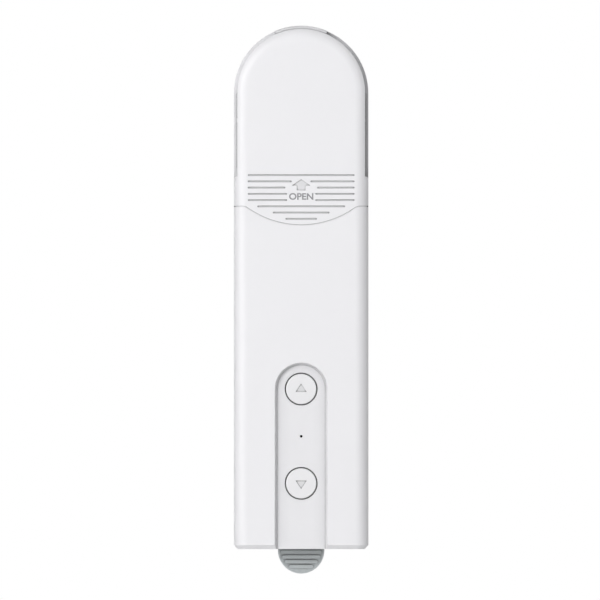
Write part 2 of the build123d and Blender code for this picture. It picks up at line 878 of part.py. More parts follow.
with BuildPart() as usb_socket:
    with BuildSketch(Plane.XY.offset(up(usb_mouth_height))):
        with Locations((0, -usb_depth)):
            SlotOverall(usb_width, usb_height)
            SlotOverall(usb_width - 2 * usb_shell, usb_height - 2 * usb_shell, mode=Mode.SUBTRACT)
    extrude(amount=usb_length)
    with BuildSketch(Plane.XY.offset(up(usb_mouth_height + usb_length))):
        with Locations((0, -usb_depth)):
            SlotOverall(usb_width, usb_height)
    extrude(amount=usb_shell)
    slab(
        usb_tongue_width, usb_mouth_height + usb_shell, usb_mouth_height + usb_length,
        usb_depth - usb_shell, usb_depth + usb_shell,
    )
save(usb_socket, "usb_socket")

# Batteries: two round cells in a ribbed holder that seats on the rear shell's back
cell_places = [-cell_spacing / 2, cell_spacing / 2]
for cell_x, name in zip(cell_places, ("left_cell", "right_cell")):
    with BuildPart() as cell:
        with Locations((cell_x, -cell_depth, up(cell_low + cell_length / 2))):
            Cylinder(cell_radius, cell_length)
        fillet(cell.edges().filter_by(GeomType.CIRCLE), radius=cell_edge_round)
    save(cell, name)

with BuildPart() as battery_strips:
    for height in (cell_low - strip_thickness, cell_top):
        slab(
            cell_spacing + cell_radius, height, height + strip_thickness,
            cell_depth - cell_radius / 2, cell_depth + cell_radius / 2,
        )
save(battery_strips, "battery_strips")

holder_half = min(inner_half - shell_gap - wall, cell_spacing / 2 + cell_radius + wall)
with BuildPart() as battery_holder:
    for rib in range(holder_ribs):
        rib_low = cell_low + cell_length * (rib + first_rib) / holder_ribs
        slab(2 * holder_half, rib_low, rib_low + holder_rib_thickness, inner_back, cell_depth)
    for side in (-1, 1):
        slab(
            2 * wall, cell_low + wall, cell_top - wall, cell_depth - cell_radius, cell_depth,
            side * (holder_half - wall),
        )
    slab(3 * wall, cell_low + wall, cell_top - wall, inner_back + wall, cell_depth - wall)
    for cell_x in cell_places:
        with Locations((cell_x, -cell_depth, up(cell_low + cell_length / 2))):
            Cylinder(cell_radius + hole_gap, cell_length, mode=Mode.SUBTRACT)
    slab(
        2 * (pocket_outside + face_gap), 0, pocket_height + wall + face_gap,
        0, pocket_floor + wall + face_gap, mode=Mode.SUBTRACT,
    )
save(battery_holder, "battery_holder")

# Drive frame: partition in front of the gears, with the chain's round guide wall, the straight
# cheeks that the cover's rails slide on, and posts for the gear plate and the motor plate
cheek_outer = skirt_inner - running_gap
inner_round = front_round - wall
round_reach = cheek_outer - (inner_half - inner_round)
guide_front = (
    cover_inner_depth - inner_round + sqrt(inner_round**2 - round_reach**2) - guide_front_gap
)
cheek_inner = guide_radius + running_gap
cheek_width = cheek_outer - cheek_inner
frame_low = motor_height - motor_radius - 2 * wall
motor_post_places = [(side * motor_post_x, motor_height) for side in (-1, 1)]
axle_places = [second_place, first_place]
with BuildPart() as drive_frame:
    arch_block(wall + running_gap, frame_low, frame_back, frame_front)
    with BuildSketch(at_depth(frame_front)):
        with Locations((0, up(arch_height))):
            Circle(guide_radius + guide_wall)
            Circle(guide_radius, mode=Mode.SUBTRACT)
        with Locations((0, up(arch_height) + body_width / 2)):
            Rectangle(2 * body_width, body_width, mode=Mode.SUBTRACT)
    extrude(amount=guide_front - frame_front)
    for side in (-1, 1):
        slab(
            cheek_width, arch_height - cheek_bottom_below_arch, arch_height - cheek_top_below_arch,
            frame_front, guide_front, side * (cheek_inner + cheek_width / 2),
        )
        slab(
            2 * (rail_depth + slip), rail_low - running_gap, arch_height + overshoot,
            rail_middle_depth - rail_width / 2 - rail_gap,
            rail_middle_depth + rail_width / 2 + rail_gap,
            side * (cheek_outer + slip), mode=Mode.SUBTRACT,
        )
        slab(
            guide_wall * 2, arch_height - cheek_top_below_arch, arch_height + overshoot,
            frame_front, overall_depth, side * (guide_radius + guide_wall), mode=Mode.SUBTRACT,
        )
    rods(gearbox_post_places, post_radius, gear_plate_front, frame_back)
    rods(motor_post_places, motor_post_radius, motor_front + motor_plate_thickness, frame_back)
    rods([wheel_place], bush_radius + slip, 0, frame_front, mode=Mode.SUBTRACT)
    rods(axle_places, axle_radius + slip, 0, frame_front, mode=Mode.SUBTRACT)
    rods(frame_post_places, small_screw_radius + hole_gap, 0, frame_front, mode=Mode.SUBTRACT)
    rods(
        gearbox_post_places, small_screw_radius + slip,
        gear_plate_front, gear_plate_front + small_screw_length, mode=Mode.SUBTRACT,
    )
    rods(
        motor_post_places, small_screw_radius + slip,
        0, frame_back - slip, mode=Mode.SUBTRACT,
    )
save(drive_frame, "drive_frame")

# Gear plate: steel plate behind the gears
plate_low = motor_height + 2 * wall
with BuildPart() as gear_plate:
    arch_block(wall + running_gap, plate_low, gear_plate_depth, gear_plate_front)
    rods([motor_place], motor_radius + 3 * face_gap, 0, overall_depth, mode=Mode.SUBTRACT)
    rods(frame_post_places, frame_post_radius + face_gap, 0, overall_depth, mode=Mode.SUBTRACT)
    rods([wheel_place], bush_radius + slip, 0, overall_depth, mode=Mode.SUBTRACT)
    rods(axle_places, axle_radius + slip, 0, overall_depth, mode=Mode.SUBTRACT)
    rods(gearbox_post_places, small_screw_radius + hole_gap, 0, overall_depth, mode=Mode.SUBTRACT)
save(gear_plate, "gear_plate")

with BuildPart() as front_bush:
    rods([wheel_place], bush_radius, frame_back, frame_front)
    rods([wheel_place], bush_flange_radius, frame_front, frame_front + bush_flange_thickness)
    rods([wheel_place], shaft_radius + shaft_clearance, 0, overall_depth, mode=Mode.SUBTRACT)
save(front_bush, "front_bush")

with BuildPart() as rear_bush:
    rods([wheel_place], bush_radius, gear_plate_depth, gear_plate_front)
    rods([wheel_place], bush_flange_radius, gear_plate_front, gear_plate_front + bush_flange_thickness)
    rods([wheel_place], shaft_radius + shaft_clearance, 0, overall_depth, mode=Mode.SUBTRACT)
save(rear_bush, "rear_bush")

with BuildPart() as gear_axles:
    rods(axle_places, axle_radius, gear_plate_depth, frame_front)
save(gear_axles, "gear_axles")


def gear_sketch(place, teeth, module, tooth_angle):
    """Outline of a spur gear with stub involute teeth, one of them centred on an angle."""
    pitch_radius = teeth * module / 2
    base_radius = pitch_radius * cos(radians(pressure_angle))
    root_radius = pitch_radius - dedendum * module
    tip_radius = pitch_radius + addendum * module

    def swept(radius):
        pressure = acos(min(1.0, base_radius / radius))
        return tan(pressure) - pressure

    half_at_pitch = pi / (2 * teeth) - tooth_backlash / (2 * pitch_radius)
    flank = [max(root_radius, base_radius), pitch_radius, tip_radius]
    flank = [(radius, half_at_pitch + swept(pitch_radius) - swept(radius)) for radius in flank]
    flank.insert(0, (root_radius - slip, flank[0][1]))
    points = []
    for tooth in range(teeth):
        middle = tooth_angle + 2 * pi * tooth / teeth
        points += [(r * cos(middle - half), r * sin(middle - half)) for r, half in flank]
        points += [(r * cos(middle + half), r * sin(middle + half)) for r, half in reversed(flank)]
    with BuildSketch() as outline:
        with Locations((place[0], up(place[1]))):
            Polygon(*points)
    return outline.sketch


def add_teeth(place, teeth, module, tooth_angle, back, front):
    """Layer of gear teeth, joined to the piece being made."""
    with BuildSketch(at_depth(back)) as layer:
        add(gear_sketch(place, teeth, module, tooth_angle))
    extrude(layer.sketch, amount=front - back)


def towards(place, other):
    """Angle of the line from one place to another."""
    return atan2(other[1] - place[1], other[0] - place[0])


# A wheel has a tooth on the line of centres, and its pinion a gap there
half_pinion_pitch = pi / pinion_teeth
output_angle = towards(wheel_place, second_place)
middle_angle = towards(second_place, first_place)
input_angle = towards(first_place, motor_place)

with BuildPart() as first_gear:
    add_teeth(first_place, input_teeth, input_module, input_angle, input_back, input_front)
    add_teeth(
        first_place, pinion_teeth, middle_module, middle_angle + pi + half_pinion_pitch,
        middle_back, middle_front + slip,
    )
    rods([first_place], gear_hub_radius, gear_plate_front + face_gap, middle_back)
    rods([first_place], gear_hub_radius, middle_front, input_back)
    rods([first_place], axle_radius + shaft_clearance, 0, overall_depth, mode=Mode.SUBTRACT)
save(first_gear, "first_gear")

with BuildPart() as second_gear:
    add_teeth(second_place, middle_teeth, middle_module, middle_angle, middle_back, middle_front)
    add_teeth(
        second_place, pinion_teeth, output_module, output_angle + pi + half_pinion_pitch,
        output_back, output_front,
    )
    rods([second_place], gear_hub_radius, gear_plate_front + face_gap, output_back)
    rods([second_place], gear_hub_radius, output_front, middle_back)
    rods([second_place], gear_hub_radius, middle_front, frame_back - face_gap)
    rods([second_place], axle_radius + shaft_clearance, 0, overall_depth, mode=Mode.SUBTRACT)
save(second_gear, "second_gear")

# Output shaft with a flat, which turns the output gear and the bead wheel
hub_back = frame_front + bush_flange_thickness + face_gap
wheel_back = hub_back + 2 * face_gap
wheel_front = wheel_back + wheel_width
wheel_middle = (wheel_back + wheel_front) / 2
hub_front = wheel_front - wheel_dish
shaft_front = hub_front - 2 * slip


def shaft_section(grow, back, front, mode):
    """Round shaft with one flat, or the hole that it fits."""
    with BuildSketch(at_depth(back)) as section:
        with Locations((0, up(arch_height))):
            Circle(shaft_radius + grow)
        with Locations((0, up(arch_height) + 2 * shaft_radius - shaft_flat + grow)):
            Rectangle(3 * shaft_radius, 2 * shaft_radius, mode=Mode.SUBTRACT)
    extrude(section.sketch, amount=front - back, mode=mode)


with BuildPart() as output_shaft:
    rods([wheel_place], shaft_radius, gear_plate_depth, output_back)
    shaft_section(0, output_back, output_front, Mode.ADD)
    rods([wheel_place], shaft_radius, output_front, hub_back)
    shaft_section(0, hub_back, shaft_front, Mode.ADD)
    rods([wheel_place], wheel_screw_radius + slip, wheel_back, shaft_front, mode=Mode.SUBTRACT)
save(output_shaft, "output_shaft")

with BuildPart() as output_gear:
    add_teeth(wheel_place, output_teeth, output_module, output_angle, output_back, output_front)
    shaft_section(slip, 0, overall_depth, Mode.SUBTRACT)
save(output_gear, "output_gear")

# Bead wheel: sixteen round pockets round the rim, joined by a groove for the cord
bead_circle = bead_pitch / 2 / sin(pi / bead_pockets)
wheel_inner_radius = wheel_rim_radius - wheel_rim_thickness
with BuildPart() as bead_wheel:
    rods([wheel_place], wheel_rim_radius, wheel_back, wheel_front)
    chamfer(bead_wheel.edges().filter_by(GeomType.CIRCLE), length=wheel_edge_bevel)
    rods([wheel_place], wheel_inner_radius, hub_front, wheel_front, mode=Mode.SUBTRACT)
    rods([wheel_place], wheel_inner_radius, wheel_back, wheel_back + wheel_dish, mode=Mode.SUBTRACT)
    rods([wheel_place], wheel_hub_radius, hub_back, hub_front)
    hole_circle = (wheel_hub_radius + wheel_inner_radius) / 2
    with BuildSketch(at_depth(0)):
        with Locations((0, up(arch_height))):
            with PolarLocations(hole_circle, wheel_holes):
                Circle(wheel_hole_radius)
    extrude(amount=overall_depth, mode=Mode.SUBTRACT)
    with BuildSketch(at_depth(wheel_middle - cord_radius)):
        with Locations((0, up(arch_height))):
            Circle(wheel_rim_radius + overshoot)
            Circle(bead_circle - cord_radius, mode=Mode.SUBTRACT)
    extrude(amount=2 * cord_radius, mode=Mode.SUBTRACT)
    wheel_plane = Plane(origin=(0, -wheel_middle, up(arch_height)), z_dir=(0, -1, 0))
    with Locations(wheel_plane):
        with PolarLocations(bead_circle, bead_pockets):
            Sphere(bead_radius + bead_gap, rotation=(90, 0, 0), mode=Mode.SUBTRACT)
    shaft_section(slip, wheel_back - wheel_dish, overall_depth, Mode.SUBTRACT)
save(bead_wheel, "bead_wheel")

with BuildPart() as wheel_screw:
    add_screw(
        0, arch_height, hub_front, wheel_width - wheel_dish, wheel_screw_radius,
        wheel_screw_head_radius, wheel_screw_head_height, False,
    )
save(wheel_screw, "wheel_screw")

# Motor: steel can with magnets, an armature on its shaft, a rear cap and a face plate
can_back = motor_back_depth + end_cap_thickness
terminal_back = motor_back_depth + end_cap_thickness / 4
with BuildPart() as motor_can:
    rods([motor_place], motor_radius, can_back, motor_front)
    fillet(motor_can.edges().group_by(Axis.Y)[0], radius=motor_wall)
    rods([motor_place], motor_radius - motor_wall, 0, motor_front - motor_wall, mode=Mode.SUBTRACT)
    rods([motor_place], motor_shaft_radius + shaft_clearance, 0, overall_depth, mode=Mode.SUBTRACT)
    face_screw_places = [
        (
            side * motor_screw_circle * cos(radians(motor_screw_angle)),
            motor_height + side * motor_screw_circle * sin(radians(motor_screw_angle)),
        )
        for side in (-1, 1)
    ]
    rods(face_screw_places, small_screw_radius + slip, 0, overall_depth, mode=Mode.SUBTRACT)
save(motor_can, "motor_can")

with BuildPart() as motor_end_cap:
    rods([motor_place], motor_radius, motor_back_depth, can_back)
    rods([motor_place], motor_radius - motor_wall - slip, can_back, can_back + wall)
    rods([motor_place], motor_shaft_radius + shaft_clearance, motor_back_depth + wall,
         overall_depth, mode=Mode.SUBTRACT)
    for side in (-1, 1):
        slab(
            2 * lead_radius + wall, motor_height - motor_radius - wall, motor_height,
            terminal_back, terminal_back + 2 * lead_radius, side * lead_x,
        )
save(motor_end_cap, "motor_end_cap")

armature_back = can_back + 2 * wall
armature_front = motor_front - 2 * wall
magnet_outer = motor_radius - motor_wall - slip
with BuildPart() as motor_magnets:
    rods([motor_place], magnet_outer, armature_back, armature_front)
    rods([motor_place], magnet_outer - magnet_thickness, 0, overall_depth, mode=Mode.SUBTRACT)
    gap_run = motor_radius * tan(radians((180 - magnet_angle) / 2))
    for side in (-1, 1):
        with BuildSketch(at_depth(0)):
            with Locations((0, up(motor_height))):
                Polygon((0, 0), (-gap_run, side * motor_radius), (gap_run, side * motor_radius))
        extrude(amount=overall_depth, mode=Mode.SUBTRACT)
save(motor_magnets, "motor_magnets")

with BuildPart() as motor_armature:
    rods([motor_place], armature_radius, armature_back, armature_front)
    with BuildSketch(at_depth(0)):
        with Locations((0, up(motor_height))):
            with PolarLocations(armature_radius, armature_slots):
                Circle(armature_slot_radius)
    extrude(amount=overall_depth, mode=Mode.SUBTRACT)
    rods([motor_place], motor_shaft_radius + slip, 0, overall_depth, mode=Mode.SUBTRACT)
save(motor_armature, "motor_armature")

with BuildPart() as motor_shaft:
    rods([motor_place], motor_shaft_radius, motor_back_depth + wall + slip, input_front)
save(motor_shaft, "motor_shaft")

with BuildPart() as motor_pinion:
    add_teeth(
        motor_place, pinion_teeth, input_module, input_angle + pi + half_pinion_pitch,
        input_back, input_front,
    )
    rods([motor_place], motor_shaft_radius + slip, 0, overall_depth, mode=Mode.SUBTRACT)
save(motor_pinion, "motor_pinion")

motor_plate_half = motor_post_x + motor_post_radius
motor_plate_front = motor_front + motor_plate_thickness
with BuildPart() as motor_plate:
    with BuildSketch(at_depth(motor_front)):
        with Locations((0, up(motor_height))):
            RectangleRounded(2 * motor_plate_half, motor_plate_height, wall)
            Circle(2 * motor_shaft_radius, mode=Mode.SUBTRACT)
        with Locations(*[(x, up(height)) for x, height in motor_post_places + face_screw_places]):
            Circle(small_screw_radius + hole_gap, mode=Mode.SUBTRACT)
    extrude(amount=motor_plate_thickness)
save(motor_plate, "motor_plate")

motor_post_length = frame_back - motor_plate_front
with BuildPart() as motor_screws:
    for x, height in motor_post_places:
        add_screw(
            x, height, motor_front, motor_plate_thickness + motor_post_length - wall / 2,
            small_screw_radius, small_screw_head_radius, small_screw_head_height, True,
        )
    for x, height in face_screw_places:
        add_screw(
            x, height, motor_plate_front, motor_plate_thickness + 2 * motor_wall,
            small_screw_radius, small_screw_head_radius, small_screw_head_height, False,
        )
save(motor_screws, "motor_screws")

# Other screws, one group for each job
with BuildPart() as case_screws:
    for x, height in case_screw_places:
        add_screw(
            x, height, shell_seam_depth - 2 * back_wall, case_screw_length,
            case_screw_radius, case_screw_head_radius, case_screw_head_height, True,
        )
save(case_screws, "case_screws")

with BuildPart() as frame_screws:
    for x, height in frame_post_places:
        add_screw(
            x, height, frame_front, frame_thickness + small_screw_length,
            small_screw_radius, small_screw_head_radius, small_screw_head_height, False,
        )
save(frame_screws, "frame_screws")

with BuildPart() as gearbox_screws:
    for x, height in gearbox_post_places:
        add_screw(
            x, height, gear_plate_depth, gear_plate_thickness + small_screw_length - wall / 2,
            small_screw_radius, small_screw_head_radius, small_screw_head_height, True,
        )
save(gearbox_screws, "gearbox_screws")

with BuildPart() as board_screws:
    for x, height in board_screw_places:
        add_screw(
            x, height, board_depth, board_thickness + small_screw_length - wall,
            small_screw_radius, small_screw_head_radius, small_screw_head_height, True,
        )
save(board_screws, "board_screws")

# Leads inside the case, from the motor and the cells to the sockets behind the board
with BuildPart() as motor_leads:
    for side in (-1, 1):
        start_height = motor_height - motor_radius - wall
        start_depth = terminal_back + lead_radius
        with BuildLine() as route:
            FilletPolyline(
                (side * lead_x, -start_depth, up(start_height)),
                (side * lead_x, -start_depth, up(motor_lead_height)),
                (side * lead_x, -lead_socket_depth, up(motor_lead_height)),
                radius=lead_bend_radius,
            )
        with BuildSketch(Plane(route.line @ 0, z_dir=route.line % 0)):
            Circle(lead_radius)
        sweep(path=route.line)
save(motor_leads, "motor_leads")

with BuildPart() as battery_leads:
    for side in (-1, 1):
        with BuildLine() as route:
            FilletPolyline(
                (side * cell_spacing / 2, -cell_depth, up(battery_lead_height)),
                (side * cell_spacing / 2, -(cell_depth + lead_socket_depth) / 2, up(battery_lead_height)),
                (side * lead_x, -(lead_socket_depth - 2 * wall), up(battery_lead_height)),
                (side * lead_x, -lead_socket_depth, up(battery_lead_height)),
                radius=wall / 2,
            )
        with BuildSketch(Plane(route.line @ 0, z_dir=route.line % 0)):
            Circle(lead_radius)
        sweep(path=route.line)
        slab(
            2 * wall, cell_top + strip_thickness, battery_lead_height + lead_radius,
            cell_depth - wall, cell_depth, side * cell_spacing / 2,
        )
save(battery_leads, "battery_leads")
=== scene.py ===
from math import atan2, radians, sqrt

import bmesh
import bpy
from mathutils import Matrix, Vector


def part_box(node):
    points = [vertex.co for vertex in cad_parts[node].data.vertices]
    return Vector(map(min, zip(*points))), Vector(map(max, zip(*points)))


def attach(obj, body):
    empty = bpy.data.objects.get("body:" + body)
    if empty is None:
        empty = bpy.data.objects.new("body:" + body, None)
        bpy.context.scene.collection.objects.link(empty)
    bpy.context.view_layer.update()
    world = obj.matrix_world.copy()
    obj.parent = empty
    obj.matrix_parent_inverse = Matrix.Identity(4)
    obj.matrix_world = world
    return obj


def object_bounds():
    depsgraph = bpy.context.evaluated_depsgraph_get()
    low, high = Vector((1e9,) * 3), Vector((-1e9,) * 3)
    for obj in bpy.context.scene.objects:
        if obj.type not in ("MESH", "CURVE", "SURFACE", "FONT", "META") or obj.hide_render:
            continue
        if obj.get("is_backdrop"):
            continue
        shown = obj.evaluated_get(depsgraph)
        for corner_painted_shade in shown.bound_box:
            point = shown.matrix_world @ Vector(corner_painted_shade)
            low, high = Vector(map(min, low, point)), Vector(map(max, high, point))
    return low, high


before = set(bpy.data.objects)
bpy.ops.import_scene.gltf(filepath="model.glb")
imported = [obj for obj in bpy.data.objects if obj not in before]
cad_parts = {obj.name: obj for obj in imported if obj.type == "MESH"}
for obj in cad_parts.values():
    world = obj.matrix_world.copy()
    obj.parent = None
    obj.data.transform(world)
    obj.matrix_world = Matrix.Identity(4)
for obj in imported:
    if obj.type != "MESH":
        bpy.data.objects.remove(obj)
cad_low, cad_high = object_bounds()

# A bead-chain roller shade motor on its wall bracket, dressed piece by piece as it is put together.
# The construction comes from model.glb. Everything here is in metres, with the room towards -Y.

# Setting of the picture: a camera far out in front with a long lens, which sees the body flat on, a
# softbox on the left, a broad one in front, and a panel that shows in the gloss of surfaces alone.

MM = 0.001
photo_width = 202.8 * MM
photo_centre = (-0.4 * MM, -4.3 * MM)
sensor_width = 36.0
camera_distance = 6.0
scene = bpy.context.scene
scene.view_settings.view_transform = "Standard"
camera_data = bpy.data.cameras.new("front_camera")
camera_data.sensor_width = sensor_width
camera_data.lens = sensor_width * camera_distance / photo_width
camera_data.dof.use_dof = False
camera = bpy.data.objects.new("front_camera", camera_data)
camera.location = (photo_centre[0], cad_low.y - camera_distance, photo_centre[1])
camera.rotation_euler = (radians(90), 0, 0)
scene.collection.objects.link(camera)
scene.camera = camera


def lamp(name, place, aim, size, power):
    """A square soft light that looks at a point of the body."""
    light = bpy.data.lights.new(name, "AREA")
    light.size = size
    light.energy = power
    light_object = bpy.data.objects.new(name, light)
    light_object.location = place
    way = Vector(aim) - Vector(place)
    light_object.rotation_euler = way.to_track_quat("-Z", "Y").to_euler()
    scene.collection.objects.link(light_object)
    return light_object


body_core = (0, -0.03, 0)
face_point = (0, -0.05, -0.03)
lamp("left_softbox", place=(-0.70, -1.25, 0.45), aim=body_core, size=0.42, power=7.2)
lamp("front_softbox", place=(-0.45, -1.65, 0.3), aim=face_point, size=0.9, power=9.0)
sheen_panel = lamp(
    "sheen_panel", place=(-1.16, -0.83, 0.35), aim=body_core, size=0.8, power=22.0
)
sheen_panel.visible_diffuse = False

# Room: full white where the camera, a mirror or glass looks. For the rest it is a plain level that
# falls towards the left wall and rises towards the right one, as a dark and a pale card would do.


def feed(tree, socket, value):
    """Puts a plain value on a socket, or links another socket to it. A colour gets its alpha."""
    if isinstance(value, bpy.types.NodeSocket):
        tree.links.new(value, socket)
    elif socket.type == "RGBA":
        socket.default_value = (*value, 1)
    else:
        socket.default_value = value


def feed_all(tree, node, values):
    """Feeds inputs of a node by their names, in small letters with underscores for spaces."""
    for name, value in values.items():
        feed(tree, node.inputs[name.replace("_", " ").title()], value)


def add_node(tree, kind, **values):
    """A shader node with values or links on the inputs named."""
    node = tree.nodes.new("ShaderNode" + kind)
    feed_all(tree, node, values)
    return node


def maths(tree, operation, *values, clamp=False):
    """The result of a maths node on numbers or sockets."""
    node = tree.nodes.new("ShaderNodeMath")
    node.operation = operation
    node.use_clamp = clamp
    for socket, value in zip(node.inputs, values):
        feed(tree, socket, value)
    return node.outputs[0]


def place_in(tree):
    """X, Y and Z of the point of a piece that is shaded, or of the way into the room."""
    place = add_node(tree, "TexCoord").outputs["Object"]
    return add_node(tree, "SeparateXYZ", vector=place).outputs


def seen_level(tree, plain, seen):
    """One level where the camera, a mirror or glass looks, and a plain one for the rest."""
    path = add_node(tree, "LightPath").outputs
    looks = maths(tree, "ADD", path["Is Camera Ray"], path["Is Glossy Ray"])
    looks = maths(tree, "ADD", looks, path["Is Transmission Ray"], clamp=True)
    return add_node(tree, "MapRange", value=looks, to_min=plain, to_max=seen).outputs["Result"]


room_level = 0.32
room_lean = 0.11
full_white = 1.0
room = bpy.data.worlds.new("white_room")
room.use_nodes = True
scene.world = room
tree = room.node_tree
backdrop = tree.nodes["Background"]
plain = maths(tree, "MULTIPLY_ADD", place_in(tree)["X"], room_lean, room_level)
feed(tree, backdrop.inputs["Color"], (1, 1, 1))
feed(tree, backdrop.inputs["Strength"], seen_level(tree, plain, full_white))

# Floor: a pale matt sheet 160 mm under the body. It is lifted towards white where it is seen, which
# keeps the body's shadow, and it is clear from below.

floor_size = 1.6
floor_drop = 0.16
floor_grey = (0.8, 0.8, 0.8)
floor_roughness = 0.9
floor_glow = 0.08
floor_lift = 0.62
floor_mesh = bmesh.new()
bmesh.ops.create_grid(floor_mesh, x_segments=1, y_segments=1, size=floor_size / 2)
bmesh.ops.translate(floor_mesh, verts=floor_mesh.verts, vec=(0, 0, cad_low.z - floor_drop))
floor_data = bpy.data.meshes.new("pale_floor")
floor_mesh.to_mesh(floor_data)
floor_mesh.free()
floor = bpy.data.objects.new("pale_floor", floor_data)
scene.collection.objects.link(floor)
floor_paint = bpy.data.materials.new("pale_floor_paint")
floor_paint.use_nodes = True
tree = floor_paint.node_tree
matt = tree.nodes["Principled BSDF"]
feed_all(
    tree, matt,
    {
        "base_color": floor_grey, "roughness": floor_roughness, "emission_color": (1, 1, 1),
        "emission_strength": seen_level(tree, floor_glow, floor_lift),
    },
)
clear = add_node(tree, "BsdfTransparent")
sides = tree.nodes.new("ShaderNodeMixShader")
below = add_node(tree, "NewGeometry").outputs["Backfacing"]
for socket, value in zip(sides.inputs, (below, matt.outputs["BSDF"], clear.outputs["BSDF"])):
    feed(tree, socket, value)
feed(tree, tree.nodes["Material Output"].inputs["Surface"], sides.outputs["Shader"])
floor_data.materials.append(floor_paint)
floor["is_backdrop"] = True

# Moulded skin, a finish that all the plastics share: spark-eroded grain about a tenth of a
# millimetre across, a slow drift in gloss and shade from the flow of the melt, and edges rounded by
# the mould. It also paints shade into the colour: dark in narrow grooves and gaps, and a softer
# painted shade in wider corners.

FLOAT, COLOUR, VECTOR = "NodeSocketFloat", "NodeSocketColor", "NodeSocketVector"


def new_group(name, inputs, outputs):
    """A shader group with named inputs at their usual values, and named outputs."""
    group = bpy.data.node_groups.new(name, "ShaderNodeTree")
    for socket_name, kind, value in inputs:
        socket = group.interface.new_socket(socket_name, in_out="INPUT", socket_type=kind)
        socket.default_value = value
    for socket_name, kind in outputs:
        group.interface.new_socket(socket_name, in_out="OUTPUT", socket_type=kind)
    given = group.nodes.new("NodeGroupInput").outputs
    put = group.nodes.new("NodeGroupOutput")
    return group, given, put


def scaled(tree, colour, factor):
    """A colour times a number."""
    node = tree.nodes.new("ShaderNodeVectorMath")
    node.operation = "SCALE"
    feed(tree, node.inputs[0], colour)
    feed(tree, node.inputs["Scale"], factor)
    return node.outputs[0]


def centred_noise(tree, scale, detail=3.0):
    """Noise about zero on Object coordinates."""
    place = add_node(tree, "TexCoord").outputs["Object"]
    noise = add_node(tree, "TexNoise", vector=place, scale=scale, detail=detail)
    return maths(tree, "SUBTRACT", noise.outputs["Fac"], 0.5)


def about(tree, level, noise, amount):
    """A level that a noise about zero raises and lowers by an amount."""
    return maths(tree, "MULTIPLY_ADD", noise, amount, level)


def in_mm(tree, size):
    """A size that is given in millimetres, in metres."""
    return maths(tree, "MULTIPLY", size, MM)


def relief(tree, height, depth, **values):
    """The normal of a skin whose height goes from 0 to 1 over a depth in millimetres."""
    height = maths(tree, "MULTIPLY", height, depth)
    return add_node(tree, "Bump", distance=MM, height=height, **values).outputs["Normal"]


def open_share(tree, reach, shut, clear, least):
    """A least share where the surface is shut in within a reach, and 1 where it is clear: the
    factor of painted shade in hollows.
    """
    around = add_node(tree, "AmbientOcclusion", distance=reach)
    around.samples = 8
    return add_node(
        tree, "MapRange", value=around.outputs["AO"], from_min=shut, from_max=clear, to_min=least
    ).outputs["Result"]


skin_outputs = [("Colour", COLOUR), ("Roughness", FLOAT), ("Normal", VECTOR)]
moulded_skin, given, put = new_group(
    "moulded_skin",
    [
        ("Colour", COLOUR, (0.8, 0.8, 0.8, 1)),
        ("Shade Drift", FLOAT, 0.01),
        ("Roughness", FLOAT, 0.45),
        ("Gloss Drift", FLOAT, 0.05),
        ("Grain Size", FLOAT, 0.12),
        ("Grain Depth", FLOAT, 0.01),
        ("Edge Round", FLOAT, 0.15),
        ("Crease Shade", FLOAT, 0.2),
        ("Crease Reach", FLOAT, 0.7),
        ("Corner Shade", FLOAT, 1.0),
    ],
    skin_outputs,
)
drift_scale = 22.0
crease_shut, crease_clear = 0.25, 0.85
corner_reach = 5.0 * MM
corner_shut, corner_clear = 0.55, 0.97
tree = moulded_skin
rounded = add_node(tree, "Bevel", radius=in_mm(tree, given["Edge Round"]))
rounded.samples = 4
grain_scale = maths(tree, "DIVIDE", 1.0, in_mm(tree, given["Grain Size"]))
grain = centred_noise(tree, grain_scale, detail=2.0)
drift = centred_noise(tree, drift_scale)
crease_reach = in_mm(tree, given["Crease Reach"])
# Painted shade: the colour is darkened where the surface is shut in, strongly within the crease
# reach and more softly within 5 mm.
crease_painted_shade = open_share(tree, crease_reach, crease_shut, crease_clear, given["Crease Shade"])
corner_painted_shade = open_share(tree, corner_reach, corner_shut, corner_clear, given["Corner Shade"])
shade = maths(tree, "MULTIPLY", about(tree, 1.0, drift, given["Shade Drift"]), crease_painted_shade)
shade = maths(tree, "MULTIPLY", shade, corner_painted_shade)
feed_all(
    tree, put,
    {
        "colour": scaled(tree, given["Colour"], shade),
        "roughness": about(tree, given["Roughness"], drift, given["Gloss Drift"]),
        "normal": relief(tree, grain, given["Grain Depth"], normal=rounded.outputs["Normal"]),
    },
)

skin_to_shader = {
    "Colour": "Base Color", "Roughness": "Roughness", "Normal": "Normal", "Metal": "Metallic",
}


def new_paint(name, group, metallic=0.0, shine=0.5, **values):
    """A material whose shader is fed by a skin, with values for that skin's inputs."""
    paint = bpy.data.materials.new(name)
    paint.use_nodes = True
    tree = paint.node_tree
    shader = tree.nodes["Principled BSDF"]
    shader.inputs["Metallic"].default_value = metallic
    shader.inputs["Specular IOR Level"].default_value = shine
    skin = tree.nodes.new("ShaderNodeGroup")
    skin.node_tree = group
    feed_all(tree, skin, values)
    for output in skin.outputs:
        tree.links.new(output, shader.inputs[skin_to_shader[output.name]])
    return paint


def moulded(name, colour, roughness, **values):
    """A moulded plastic, with its own values where they aren't the skin's usual ones."""
    return new_paint(name, moulded_skin, colour=colour, roughness=roughness, **values)


# Case: rear shell, front shell and chain cover, moulded in the same cool white plastic with a
# satin skin. They meet in a 0.3 mm split.


def finish_nodes(paint, *names):
    """Gives construction pieces their finish."""
    for name in names:
        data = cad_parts[name].data
        data.materials.clear()
        data.materials.append(paint)


case_plastic = {"colour": (0.845, 0.842, 0.862), "roughness": 0.42, "shine": 0.25}
# The shells get strong painted shade in the split and the gaps round the buttons, and softer
# painted shade in wider corners such as the recess.
shell_skin = {"edge_round": 0.32, "crease_shade": 0.05, "corner_shade": 0.7}
case_white = moulded("case_white", **case_plastic, **shell_skin)
front_white = moulded("front_white", **case_plastic, **shell_skin)
finish_nodes(case_white, "rear_shell")
finish_nodes(front_white, "front_shell")
